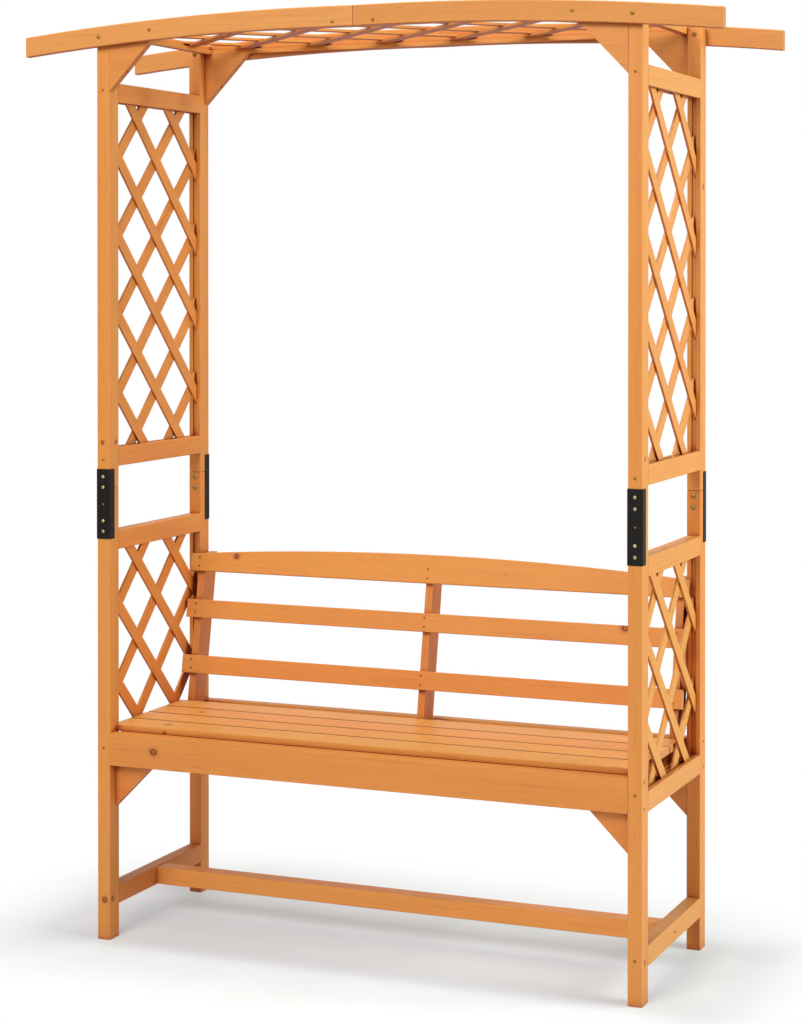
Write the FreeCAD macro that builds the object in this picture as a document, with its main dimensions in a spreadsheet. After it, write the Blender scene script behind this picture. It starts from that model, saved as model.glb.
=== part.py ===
import FreeCAD, Part
import math
import os
import Sketcher

# Arbour seat: two lattice side frames, a slatted bench with a leaning back,
# and a shallow arched roof. Millimetres, +Z up, the origin on the ground in
# the middle of the plan. The bench faces -Y and the sides stand at -X and +X.

doc = FreeCAD.newDocument("arbour_seat")
sheet = doc.addObject("Spreadsheet::Sheet", "sizes")

nodes = []
aliases = []

SIDES = ("left", "right")
ENDS = ("front", "rear")
SLAT_COUNT = 4

ALONG_X = FreeCAD.Vector(1, 0, 0)
ALONG_Y = FreeCAD.Vector(0, 1, 0)
ALONG_Z = FreeCAD.Vector(0, 0, 1)


class Size:
    """A length: its value now, and the sheet expression that it comes from."""

    def __init__(self, value, text):
        self.value = value
        self.text = text

    def __add__(self, other):
        return joined(self, "+", other)

    def __radd__(self, other):
        return joined(other, "+", self)

    def __sub__(self, other):
        return joined(self, "-", other)

    def __rsub__(self, other):
        return joined(other, "-", self)

    def __mul__(self, other):
        return joined(self, "*", other)

    def __rmul__(self, other):
        return joined(other, "*", self)

    def __truediv__(self, other):
        return joined(self, "/", other)

    def __neg__(self):
        return joined(0, "-", self)


def as_size(number):
    return number if isinstance(number, Size) else Size(float(number), f"({number})")


def joined(left, sign, right):
    left = as_size(left)
    right = as_size(right)
    if sign == "+":
        value = left.value + right.value
    elif sign == "-":
        value = left.value - right.value
    elif sign == "*":
        value = left.value * right.value
    else:
        value = left.value / right.value
    return Size(value, f"({left.text} {sign} {right.text})")


def size(alias, number):
    """Write one driving dimension on the sheet and return it."""
    aliases.append(alias)
    row = len(aliases)
    sheet.set(f"A{row}", alias.replace("_", " "))
    sheet.set(f"B{row}", str(number))
    sheet.setAlias(f"B{row}", alias)
    return Size(float(number), f"sizes.{alias}")


# Side frames
frame_width = size("frame_width", 1236)
frame_depth = size("frame_depth", 465)
post_width = size("post_width", 30)
post_depth = size("post_depth", 41)
post_top = size("post_top", 1980.5)
rail_height = size("rail_height", 41.5)
foot_rail_bottom = size("foot_rail_bottom", 71)
seat_rail_bottom = size("seat_rail_bottom", 379.5)
arm_rail_bottom = size("arm_rail_bottom", 849)
panel_rail_bottom = size("panel_rail_bottom", 1031.5)
top_rail_bottom = size("top_rail_bottom", 1827.5)
edge_radius = size("edge_radius", 1.5)
edge_chamfer = size("edge_chamfer", 1.5)

# Half lap between the lower and the upper post, and its steel channel
lap_bottom = size("lap_bottom", 904.5)
lap_top = size("lap_top", 988)
bracket_bottom = size("bracket_bottom", 875)
bracket_height = size("bracket_height", 152)
bracket_steel = size("bracket_steel", 1.5)
bracket_flange = size("bracket_flange", 20)
bracket_bend = size("bracket_bend", 2)
bracket_hole = size("bracket_hole", 2.4)
near_screw_offset = size("near_screw_offset", 36.5)
far_screw_offset = size("far_screw_offset", 59.5)
lap_bolt_spacing = size("lap_bolt_spacing", 24)
lap_bolt_lift = size("lap_bolt_lift", 1)
lap_gap = size("lap_gap", 1)

# Lattice
strip_width = size("strip_width", 27)
strip_thickness = size("strip_thickness", 5)
side_pitch = size("side_pitch", 173.5)
strip_shifts = {
    "left_lower": (size("left_lower_falling_shift", 1.5), size("left_lower_rising_shift", -5)),
    "left_upper": (size("left_upper_falling_shift", -2), size("left_upper_rising_shift", -7)),
    "right_lower": (size("right_lower_falling_shift", -1), size("right_lower_rising_shift", -2)),
    "right_upper": (size("right_upper_falling_shift", -10.5), size("right_upper_rising_shift", -1.5)),
}
roof_pitch = size("roof_pitch", 178.5)
lower_roof_shift = size("lower_roof_shift", 83)
upper_roof_shift = size("upper_roof_shift", 36)
groove_depth = size("groove_depth", 4)

# Seat
apron_bottom = size("apron_bottom", 381.5)
apron_height = size("apron_height", 70.5)
apron_thickness = size("apron_thickness", 26.5)
bearer_width = size("bearer_width", 28.5)
bearer_height = size("bearer_height", 40)
tenon_length = size("tenon_length", 10)
tenon_shoulder = size("tenon_shoulder", 6)
slat_width = size("slat_width", 75)
slat_thickness = size("slat_thickness", 14.5)
slat_pitch = size("slat_pitch", 79.5)
slat_setback = size("slat_setback", 31)
slat_overhang = size("slat_overhang", 8.5)
cleat_half_length = size("cleat_half_length", 577)
cleat_width = size("cleat_width", 20)
cleat_height = size("cleat_height", 12)
outer_cleat_screw = size("outer_cleat_screw", 450)
inner_cleat_screw = size("inner_cleat_screw", 150)
seat_gusset_leg = size("seat_gusset_leg", 118.5)
seat_gusset_lap = size("seat_gusset_lap", 25)
seat_gusset_thickness = size("seat_gusset_thickness", 14.5)

# Back
back_setback = size("back_setback", 351.5)
back_slope = size("back_slope", 0.187)
upright_width = size("upright_width", 17)
left_upright_gap = size("left_upright_gap", 4)
right_upright_gap = size("right_upright_gap", 0.5)
upright_run = size("upright_run", 55)
middle_upright_shift = size("middle_upright_shift", -1.2)
upright_top = size("upright_top", 798)
back_rail_thickness = size("back_rail_thickness", 16)
back_rail_height = size("back_rail_height", 41.5)
back_rail_overhang = size("back_rail_overhang", 10)
lower_back_rail_up = size("lower_back_rail_up", 61.4)
middle_back_rail_up = size("middle_back_rail_up", 189)
crest_up = size("crest_up", 296.5)
crest_end_height = size("crest_end_height", 39.5)
crest_rise = size("crest_rise", 24.5)

# Foot stretcher
stretcher_width = size("stretcher_width", 41)
stretcher_height = size("stretcher_height", 38)

# Roof
beam_half_length = size("beam_half_length", 786)
beam_height = size("beam_height", 43)
beam_thickness = size("beam_thickness", 19)
beam_eaves = size("beam_eaves", 1928)
beam_middle = size("beam_middle", 1965.3)
beam_radius = size("beam_radius", 6400)
beam_joint_gap = size("beam_joint_gap", 1)
ledger_bottom = size("ledger_bottom", 1966.5)
ledger_height = size("ledger_height", 20)
ledger_thickness = size("ledger_thickness", 19)
rebate_depth = size("rebate_depth", 6)
top_gusset_run = size("top_gusset_run", 112.5)
top_gusset_drop = size("top_gusset_drop", 117.5)
top_gusset_thickness = size("top_gusset_thickness", 19)

# Places worked out from the driving dimensions
inner_face = frame_width / 2 - post_width
post_middle = frame_width / 2 - post_width / 2
half_depth = frame_depth / 2
groove_width = 2 * strip_thickness
seat_underside = apron_bottom + apron_height
seat_top = seat_underside + slat_thickness
bracket_middle = bracket_bottom + bracket_height / 2
back_line = back_setback - half_depth
lean = math.degrees(math.atan(back_slope.value))
upright_face = {
    "left": inner_face - left_upright_gap - upright_width,
    "right": inner_face - right_upright_gap - upright_width,
}
bearer_places = {
    "left": -upright_face["left"] + bearer_width / 2,
    "middle": middle_upright_shift + (upright_width + bearer_width) / 2,
    "right": upright_face["right"] - bearer_width / 2,
}


def at_x(side, distance):
    """X of a point on one side, from its distance to the middle."""
    return distance if side == "right" else -distance


def at_y(end, setback):
    """Y of a point at one end, from its distance behind the posts' outer face."""
    return setback - half_depth if end == "front" else half_depth - setback


def low_x(side, distance, thickness):
    """Lowest X of a piece that starts at a distance and goes outwards."""
    return distance if side == "right" else -distance - thickness


def low_y(end, setback, thickness):
    """Lowest Y of a piece that starts at a setback and goes inwards."""
    return setback - half_depth if end == "front" else half_depth - setback - thickness


def place(piece, x, y, z):
    for axis, distance in zip("xyz", (x, y, z)):
        piece.setExpression(f"Placement.Base.{axis}", as_size(distance).text)


def box(name, length, width, height, corner):
    piece = doc.addObject("Part::Box", name)
    for measure, amount in zip(("Length", "Width", "Height"), (length, width, height)):
        piece.setExpression(measure, as_size(amount).text)
    place(piece, *corner)
    return piece


def eased(piece, direction):
    """Round the long edges of a planed batten: direction is its grain's axis."""
    doc.recompute()
    edges = []
    for number, edge in enumerate(piece.Shape.Edges, start=1):
        along = edge.tangentAt(edge.FirstParameter).dot(direction)
        if abs(along) > 0.99:
            edges.append((number, edge_radius.value, edge_radius.value))
    rounded = doc.addObject("Part::Fillet", piece.Name + "_eased")
    rounded.Base = piece
    rounded.Edges = edges
    return rounded


def cut(piece, tools, name):
    """Take out of a piece the tools that reach it, each fastener of a group apart."""
    doc.recompute()
    reach = piece.Shape.BoundBox
    meeting = []
    for tool in tools:
        for single in tool.Links if tool.TypeId == "Part::Compound" else [tool]:
            if Part.getShape(single).BoundBox.intersect(reach):
                meeting.append(single)
    result = doc.addObject("Part::Cut", name + "_cut")
    result.Base = piece
    result.Tool = compound(name + "_tools", meeting)
    return result


def compound(name, pieces):
    group = doc.addObject("Part::Compound", name)
    group.Links = pieces
    return group


def node(piece, label):
    """Register a finished sub-part under the name of its file."""
    piece.Label = label
    nodes.append(piece)
    return piece


def sketch_on(body, role, name, lift=0):
    """A sketch on one of the body's own origin planes, moved along its normal."""
    sketch = body.newObject("Sketcher::SketchObject", name)
    plane = [item for item in body.Origin.OriginFeatures if item.Role == role][0]
    sketch.AttachmentSupport = [(plane, "")]
    sketch.MapMode = "FlatFace"
    lift = as_size(lift)
    sketch.AttachmentOffset = FreeCAD.Placement(FreeCAD.Vector(0, 0, lift.value), FreeCAD.Rotation())
    return sketch


def bind(sketch, constraint, amount):
    """Add one constraint and tie it to the sheet."""
    number = sketch.addConstraint(constraint)
    sketch.setExpression(f"Constraints[{number}]", as_size(amount).text)


def outline(sketch, corners, arcs=None):
    """Close a loop through the corners. arcs gives the radius of a bulging edge
    by the number of the corner that it starts from; the others are straight."""
    arcs = arcs or {}
    corners = [(as_size(u), as_size(v)) for u, v in corners]
    points = [FreeCAD.Vector(u.value, v.value, 0) for u, v in corners]
    starts = []
    for number, start in enumerate(points):
        end = points[(number + 1) % len(points)]
        if number not in arcs:
            starts.append((sketch.addGeometry(Part.LineSegment(start, end), False), 1, 2))
            continue
        radius = arcs[number].value
        chord = end - start
        bulge = radius - math.sqrt(radius ** 2 - chord.Length ** 2 / 4)
        square = FreeCAD.Vector(chord.y, -chord.x, 0).normalize()
        crown = (start + end) / 2 + square * (bulge if chord.x < 0 else -bulge)
        added = sketch.addGeometry(Part.Arc(start, crown, end), False)
        first = sketch.getPoint(added, 1)
        turned = first.distanceToPoint(start) > first.distanceToPoint(end)
        starts.append((added, 2, 1) if turned else (added, 1, 2))
        bind(sketch, Sketcher.Constraint("Radius", added, radius), arcs[number])
    for number, (geometry, _, last) in enumerate(starts):
        following, first, _ = starts[(number + 1) % len(starts)]
        sketch.addConstraint(Sketcher.Constraint("Coincident", geometry, last, following, first))
    for (geometry, first, _), (u, v) in zip(starts, corners):
        bind(sketch, Sketcher.Constraint("DistanceX", geometry, first, u.value), u)
        bind(sketch, Sketcher.Constraint("DistanceY", geometry, first, v.value), v)


def circle(sketch, u, v, radius):
    u = as_size(u)
    v = as_size(v)
    radius = as_size(radius)
    centre = FreeCAD.Vector(u.value, v.value, 0)
    added = sketch.addGeometry(Part.Circle(centre, ALONG_Z, radius.value), False)
    bind(sketch, Sketcher.Constraint("DistanceX", added, 3, u.value), u)
    bind(sketch, Sketcher.Constraint("DistanceY", added, 3, v.value), v)
    bind(sketch, Sketcher.Constraint("Radius", added, radius.value), radius)


def padded(name, role, corners, thickness, arcs=None):
    """A board cut to an outline and padded along the axis square to its plane,
    towards the positive side of that axis."""
    body = doc.addObject("PartDesign::Body", name)
    sketch = sketch_on(body, role, name + "_outline")
    outline(sketch, corners, arcs)
    pad = body.newObject("PartDesign::Pad", name + "_pad")
    pad.Profile = sketch
    pad.setExpression("Length", as_size(thickness).text)
    pad.Reversed = role == "XZ_Plane"
    doc.recompute()
    return body


# Fasteners. Each form points along +Z: its head is above the origin, its
# shank below. fasten() sets copies of a form with the head facing outwards.

FACING = {
    "left": FreeCAD.Rotation(ALONG_Z, FreeCAD.Vector(-1, 0, 0)),
    "right": FreeCAD.Rotation(ALONG_Z, FreeCAD.Vector(1, 0, 0)),
    "front": FreeCAD.Rotation(ALONG_Z, FreeCAD.Vector(0, -1, 0)),
    "rear": FreeCAD.Rotation(ALONG_Z, FreeCAD.Vector(0, 1, 0)),
    "down": FreeCAD.Rotation(ALONG_Z, FreeCAD.Vector(0, 0, -1)),
    "up": FreeCAD.Rotation(),
}
OPPOSITE = {"left": "right", "right": "left", "front": "rear", "rear": "front"}

# A domed head's straight rim as a share of its height, and the reach and half
# width of its cross recess as shares of its diameter
RIM_OF_HEAD = 0.35
CROSS_OF_HEAD = 0.24
SLOT_OF_HEAD = 0.05


def domed_form(name, head, height, shank, length):
    """A screw or bolt with a domed head and a cross recess, by its diameters."""
    body = doc.addObject("PartDesign::Body", name)
    profile = sketch_on(body, "XZ_Plane", name + "_profile")
    rim = height * RIM_OF_HEAD
    dome = height - rim
    dome_radius = (head * head / 4 + dome * dome) / (2 * dome)
    corners = [
        (0, -length),
        (shank / 2, shank - length),
        (shank / 2, 0),
        (head / 2, 0),
        (head / 2, rim),
        (0, height),
    ]
    outline(profile, corners, {4: dome_radius})
    turned = body.newObject("PartDesign::Revolution", name + "_turned")
    turned.Profile = profile
    turned.ReferenceAxis = (profile, ["V_Axis"])
    recess = sketch_on(body, "XY_Plane", name + "_recess", height)
    arm = head * CROSS_OF_HEAD
    slot = head * SLOT_OF_HEAD
    cross = [
        (arm, -slot), (arm, slot), (slot, slot), (slot, arm), (-slot, arm), (-slot, slot),
        (-arm, slot), (-arm, -slot), (-slot, -slot), (-slot, -arm), (slot, -arm), (slot, -slot),
    ]
    outline(recess, cross)
    pocket = body.newObject("PartDesign::Pocket", name + "_cross")
    pocket.Profile = recess
    pocket.setExpression("Length", (height / 2).text)
    return body


def countersunk_form(name, head, shank, length):
    """A wood screw with a flat countersunk head, flush with the surface."""
    body = doc.addObject("PartDesign::Body", name)
    profile = sketch_on(body, "XZ_Plane", name + "_profile")
    cone = (head - shank) / 2
    corners = [(0, -length), (shank / 2, shank - length), (shank / 2, -cone), (head / 2, 0), (0, 0)]
    outline(profile, corners)
    turned = body.newObject("PartDesign::Revolution", name + "_turned")
    turned.Profile = profile
    turned.ReferenceAxis = (profile, ["V_Axis"])
    return body


def nut_form(name, across_flats, height, bore, washer, washer_height):
    """A hexagon nut on its washer; the washer's face is at the origin."""
    nut = doc.addObject("PartDesign::Body", name)
    sketch = sketch_on(nut, "XY_Plane", name + "_hexagon", washer_height)
    point = across_flats / math.sqrt(3)
    flat = across_flats / 2
    hexagon = [
        (point, 0), (point / 2, flat), (-point / 2, flat),
        (-point, 0), (-point / 2, -flat), (point / 2, -flat),
    ]
    outline(sketch, hexagon)
    circle(sketch, 0, 0, bore / 2)
    pad = nut.newObject("PartDesign::Pad", name + "_pad")
    pad.Profile = sketch
    pad.setExpression("Length", height.text)
    ring = doc.addObject("PartDesign::Body", name + "_washer")
    sketch = sketch_on(ring, "XY_Plane", name + "_ring")
    circle(sketch, 0, 0, washer / 2)
    circle(sketch, 0, 0, bore / 2)
    pad = ring.newObject("PartDesign::Pad", name + "_washer_pad")
    pad.Profile = sketch
    pad.setExpression("Length", washer_height.text)
    return nut, ring


def fasten(group, form, facing, x, y, z):
    """Set one fastener of a group, its head facing left, right, front, rear, up or down."""
    copy = doc.addObject("App::Link", f"{form.Name}_at_{len(group) + 1}")
    copy.LinkedObject = form
    copy.Placement = FreeCAD.Placement(FreeCAD.Vector(), FACING[facing])
    place(copy, x, y, z)
    group.append(copy)
    return copy


bracket_screw = domed_form(
    "bracket_screw", size("bracket_screw_head", 7), size("bracket_screw_head_height", 2.2),
    size("bracket_screw_shank", 4), size("bracket_screw_length", 16))
lap_bolt = domed_form(
    "lap_bolt", size("lap_bolt_head", 12), size("lap_bolt_head_height", 3),
    size("lap_bolt_shank", 5), size("lap_bolt_length", 33))
beam_bolt = domed_form(
    "beam_bolt", size("beam_bolt_head", 8.5), size("beam_bolt_head_height", 2.8),
    size("beam_bolt_shank", 5), size("beam_bolt_length", 68))
ledger_screw = domed_form(
    "ledger_screw", size("ledger_screw_head", 7.5), size("ledger_screw_head_height", 2.3),
    size("ledger_screw_shank", 4), size("ledger_screw_length", 30))
frame_screw = domed_form(
    "frame_screw", size("frame_screw_head", 6.5), size("frame_screw_head_height", 1.8),
    size("frame_screw_shank", 4), size("frame_screw_length", 70))
wood_screw_head = size("wood_screw_head", 5.5)
wood_screw_shank = size("wood_screw_shank", 3)
wood_screw_short = size("wood_screw_short", 30)
wood_screw_long = size("wood_screw_long", 50)
short_screw = countersunk_form("short_screw", wood_screw_head, wood_screw_shank, wood_screw_short)
long_screw = countersunk_form("long_screw", wood_screw_head, wood_screw_shank, wood_screw_long)
arm_screw = countersunk_form(
    "arm_screw", size("arm_screw_head", 8), size("arm_screw_shank", 4), size("arm_screw_length", 70))
washer_height = size("washer_height", 1)
beam_nut, beam_washer = nut_form(
    "beam_nut", size("nut_across_flats", 8), size("nut_height", 4),
    size("nut_bore", 5), size("washer_diameter", 10), washer_height)

# Heights and places of the fasteners
foot_screw_height = size("foot_screw_height", 91)
seat_screw_height = size("seat_screw_height", 419)
arm_screw_height = size("arm_screw_height", 881)
panel_screw_height = size("panel_screw_height", 1048)
top_screw_height = size("top_screw_height", 1852)
low_apron_screw_edge = size("low_apron_screw_edge", 10)
high_apron_screw_edge = size("high_apron_screw_edge", 7)
beam_bolt_height = size("beam_bolt_height", 1965.5)
ledger_screw_height = size("ledger_screw_height", 1976)
outer_ledger_screw = size("outer_ledger_screw", 478)
inner_ledger_screw = size("inner_ledger_screw", 46)
gusset_post_screw_up = size("gusset_post_screw_up", 42)
gusset_ledger_screw_up = size("gusset_ledger_screw_up", 79.5)
gusset_screw_sink = size("gusset_screw_sink", 5)
gusset_apron_screw_up = size("gusset_apron_screw_up", 15)
near_apron_screw = size("near_apron_screw", 50)
far_apron_screw = size("far_apron_screw", 98)
upright_screw_drop = size("upright_screw_drop", 12)
upright_screw_pitch = size("upright_screw_pitch", 16)
upright_screw_setback = size("upright_screw_setback", 15)
back_screw_low = size("back_screw_low", 11.5)
back_screw_pitch = size("back_screw_pitch", 20)
slat_screw_spacing = size("slat_screw_spacing", 40)


def bracket_screws():
    """Four screws through the web of each splice channel."""
    group = []
    for side in SIDES:
        for end in ENDS:
            for offset in (near_screw_offset, -near_screw_offset, far_screw_offset, -far_screw_offset):
                fasten(group, bracket_screw, end, at_x(side, post_middle),
                       at_y(end, -bracket_steel), bracket_middle + offset)
    return node(compound("bracket_screws", group), "bracket_screws")


def lap_bolts():
    """Two bolts from the inside of each post through its half lap."""
    group = []
    for side in SIDES:
        for end in ENDS:
            for step in (0, 1):
                fasten(group, lap_bolt, OPPOSITE[end], at_x(side, post_middle),
                       at_y(end, post_depth), bracket_middle + lap_bolt_lift + lap_bolt_spacing * step)
    return node(compound("lap_bolts", group), "lap_bolts")


def beam_bolts():
    """Bolts with nuts through beams and posts, screws through beams and ledgers."""
    group = []
    for side in SIDES:
        for end in ENDS:
            face = at_y(end, -beam_thickness)
            fasten(group, beam_bolt, end, at_x(side, post_middle), face, beam_bolt_height)
            for form in (beam_washer, beam_nut):
                fasten(group, form, OPPOSITE[end], at_x(side, post_middle),
                       at_y(end, post_depth), beam_bolt_height)
            for distance in (outer_ledger_screw, inner_ledger_screw):
                fasten(group, ledger_screw, end, at_x(side, distance), face, ledger_screw_height)
    return node(compound("beam_bolts", group), "beam_bolts")


def frame_screws():
    """Long screws through the posts into the rails and aprons, and through the
    foot rails into the stretcher."""
    group = []
    heights = (foot_screw_height, seat_screw_height, panel_screw_height, top_screw_height)
    for side in SIDES:
        for end in ENDS:
            for height in heights:
                fasten(group, frame_screw, end, at_x(side, post_middle), at_y(end, 0), height)
            for height in (apron_bottom + low_apron_screw_edge, seat_underside - high_apron_screw_edge):
                fasten(group, frame_screw, side, at_x(side, frame_width / 2),
                       at_y(end, apron_thickness / 2), height)
        fasten(group, frame_screw, side, at_x(side, frame_width / 2), 0, foot_screw_height)
    return node(compound("frame_screws", group), "frame_screws")


def lean_back(y, up):
    """Y and Z of a point given square to the leaning back and up along it."""
    run = back_slope / math.hypot(1, back_slope.value)
    rise = 1 / math.hypot(1, back_slope.value)
    return back_line + y * rise + up * run, seat_top - y * run + up * rise


def back_screws(group):
    """Two screws where each back rail crosses each upright."""
    for rail in (lower_back_rail_up, middle_back_rail_up, crest_up):
        for step in (0, 1):
            y, z = lean_back(-back_rail_thickness, rail + back_screw_low + back_screw_pitch * step)
            half = upright_width / 2
            for x in (-upright_face["left"] - half, middle_upright_shift, upright_face["right"] + half):
                copy = fasten(group, short_screw, "front", x, y, z)
                copy.Placement = FreeCAD.Placement(
                    FreeCAD.Vector(), FreeCAD.Rotation(ALONG_X, -lean).multiply(FACING["front"]))


def upright_screws(group):
    """Two screws through each upright into the bearer beside it."""
    faces = (
        ("left", -upright_face["left"] - upright_width),
        ("left", middle_upright_shift - upright_width / 2),
        ("right", upright_face["right"] + upright_width),
    )
    for facing, face in faces:
        for drop in (upright_screw_drop, upright_screw_drop + upright_screw_pitch):
            fasten(group, short_screw, facing, face, back_line + upright_screw_setback, seat_underside - drop)


def top_gusset_screws(group, bores):
    """One screw across into the post and one up into the ledger, both sunk in
    the sloping edge."""
    tip = ledger_bottom - top_gusset_drop
    slope = top_gusset_run / top_gusset_drop
    for side in SIDES:
        for end in ENDS:
            y = at_y(end, top_gusset_thickness / 2)
            x = at_x(side, inner_face - gusset_post_screw_up * slope + gusset_screw_sink)
            for form, into in ((long_screw, group), (sink_bore, bores)):
                fasten(into, form, OPPOSITE[side], x, y, tip + gusset_post_screw_up)
            x = at_x(side, inner_face - gusset_ledger_screw_up * slope)
            for form, into in ((long_screw, group), (sink_bore, bores)):
                fasten(into, form, "down", x, y, tip + gusset_ledger_screw_up + gusset_screw_sink)


def seat_gusset_screws(group):
    """Two screws through each gusset into the apron in front of it."""
    for side in SIDES:
        for end in ENDS:
            y = at_y(end, apron_thickness + seat_gusset_thickness)
            for distance in (near_apron_screw, far_apron_screw):
                fasten(group, short_screw, OPPOSITE[end], at_x(side, inner_face - distance), y,
                       apron_bottom + gusset_apron_screw_up)


def arm_screws(group):
    """Flush screws through the posts into the arm rails, under the splice channels."""
    for side in SIDES:
        for end in ENDS:
            fasten(group, arm_screw, end, at_x(side, post_middle), at_y(end, 0), arm_screw_height)


def cleat_screws(group):
    """From behind through the seat cleat into the front apron."""
    for side in SIDES:
        for distance in (inner_cleat_screw, outer_cleat_screw):
            fasten(group, short_screw, "rear", at_x(side, distance),
                   at_y("front", apron_thickness + cleat_width), seat_underside - cleat_height / 2)


def slat_screws(group):
    """From below through the bearers, two into each slat."""
    for x in bearer_places.values():
        for number in range(SLAT_COUNT):
            middle = slat_setback - half_depth + slat_width / 2 + slat_pitch * number
            for offset in (-slat_screw_spacing / 2, slat_screw_spacing / 2):
                fasten(group, long_screw, "down", x, middle + offset, seat_underside - bearer_height)


def end_rail_screws(group):
    """Through the ledgers into the ends of the roof end rails, behind the beams."""
    for side in SIDES:
        for end in ENDS:
            fasten(group, short_screw, end, at_x(side, inner_face - ledger_thickness / 2),
                   at_y(end, 0), ledger_bottom + (ledger_height - groove_width) / 2)


def wood_screws():
    """All small countersunk screws, and the bores that sink some of them."""
    group = []
    bores = []
    back_screws(group)
    upright_screws(group)
    top_gusset_screws(group, bores)
    seat_gusset_screws(group)
    arm_screws(group)
    cleat_screws(group)
    slat_screws(group)
    end_rail_screws(group)
    return node(compound("wood_screws", group), "wood_screws"), compound("gusset_bores", bores)


def posts():
    """Lower and upper posts, lapped half and half, grooved for the lattice."""
    drilled = [frame_fixings, channel_fixings, lap_fixings, beam_fixings, small_fixings]
    outer_half = post_depth / 2
    for side in SIDES:
        x = low_x(side, inner_face, post_width)
        groove_x = at_x(side, post_middle) - groove_width / 2
        for end in ENDS:
            groove_y = low_y(end, post_depth - groove_depth, groove_depth)
            name = f"{side}_{end}_lower_post"
            height = lap_top - lap_gap
            stock = box(name + "_stock", post_width, post_depth, height, (x, low_y(end, 0, post_depth), 0))
            lap = box(name + "_lap", post_width, outer_half, lap_top - lap_bottom,
                      (x, low_y(end, 0, outer_half), lap_bottom))
            low = seat_rail_bottom + rail_height - groove_depth
            groove = box(name + "_groove", groove_width, groove_depth, arm_rail_bottom + groove_depth - low,
                         (groove_x, groove_y, low))
            node(cut(eased(stock, ALONG_Z), [lap, groove] + drilled, name), name)
            name = f"{side}_{end}_upper_post"
            foot = lap_bottom + lap_gap
            stock = box(name + "_stock", post_width, post_depth, post_top - foot,
                        (x, low_y(end, 0, post_depth), foot))
            lap = box(name + "_lap", post_width, outer_half, lap_top - lap_bottom,
                      (x, low_y(end, outer_half, outer_half), lap_bottom))
            low = panel_rail_bottom + rail_height - groove_depth
            groove = box(name + "_groove", groove_width, groove_depth, top_rail_bottom + groove_depth - low,
                         (groove_x, groove_y, low))
            node(cut(eased(stock, ALONG_Z), [lap, groove] + drilled, name), name)


def side_rails():
    """Five rails between the posts of each side; four carry a lattice groove."""
    on_top = rail_height - groove_depth
    rails = (
        ("foot_rail", foot_rail_bottom, None),
        ("seat_rail", seat_rail_bottom, on_top),
        ("arm_rail", arm_rail_bottom, as_size(0)),
        ("panel_rail", panel_rail_bottom, on_top),
        ("top_rail", top_rail_bottom, as_size(0)),
    )
    length = frame_depth - 2 * post_depth
    for side in SIDES:
        for kind, bottom, groove_up in rails:
            name = f"{side}_{kind}"
            corner = (low_x(side, inner_face, post_width), -length / 2, bottom)
            stock = box(name + "_stock", post_width, length, rail_height, corner)
            tools = [frame_fixings, small_fixings]
            if groove_up is not None:
                groove_x = at_x(side, post_middle) - groove_width / 2
                tools.append(box(name + "_groove", groove_width, length, groove_depth,
                                 (groove_x, -length / 2, bottom + groove_up)))
            node(cut(eased(stock, ALONG_Y), tools, name), name)


def strip(name, turn_axis, angle, thickness_along, length, centre):
    """One lattice strip through a centre, lying square to thickness_along."""
    piece = doc.addObject("Part::Box", name)
    lies_flat = thickness_along == "z"
    sizes = (length, strip_width, strip_thickness) if lies_flat else (strip_thickness, length, strip_width)
    for measure, amount in zip(("Length", "Width", "Height"), sizes):
        piece.setExpression(measure, as_size(amount).text)
    corner = FreeCAD.Vector(*[-as_size(amount).value / 2 for amount in sizes])
    turn = FreeCAD.Rotation(turn_axis, angle)
    middle = FreeCAD.Vector(*[as_size(amount).value for amount in centre])
    piece.Placement = FreeCAD.Placement(middle + turn.multVec(corner), turn)
    return piece


def lattice(name, layers, panel):
    """Two layers of crossed strips, each trimmed to the panel."""
    trimmed = []
    for number, strips in enumerate(layers, start=1):
        layer = doc.addObject("Part::Common", f"{name}_layer_{number}")
        layer.Base = compound(f"{name}_strips_{number}", strips)
        layer.Tool = panel
        trimmed.append(layer)
    node(compound(name, trimmed), name)


def side_lattices():
    """Lower and upper panels; the strips' ends sit in the grooves. The strips
    that fall towards the rear lie on the +X side of both panels."""
    panels = (
        ("lower", seat_rail_bottom + rail_height, arm_rail_bottom, 2),
        ("upper", panel_rail_bottom + rail_height, top_rail_bottom, 3),
    )
    width = frame_depth - 2 * post_depth + 2 * groove_depth
    for side in SIDES:
        for level, low, high, rows_each_way in panels:
            name = f"{side}_{level}_lattice"
            panel = box(name + "_panel", groove_width, width, high - low + 2 * groove_depth,
                        (at_x(side, post_middle) - groove_width / 2, -width / 2, low - groove_depth))
            layers = []
            for way, shift in zip((1, -1), strip_shifts[f"{side}_{level}"]):
                x = at_x(side, post_middle) + way * strip_thickness / 2
                strips = []
                for row in range(-rows_each_way, rows_each_way):
                    centre = (x, 0, (low + high) / 2 + side_pitch * (row + 0.5) + shift)
                    strips.append(strip(f"{name}_strip_{len(layers)}_{row + rows_each_way}",
                                        ALONG_X, -45 * way, "x", 2 * width, centre))
                layers.append(strips)
            lattice(name, layers, panel)


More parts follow.
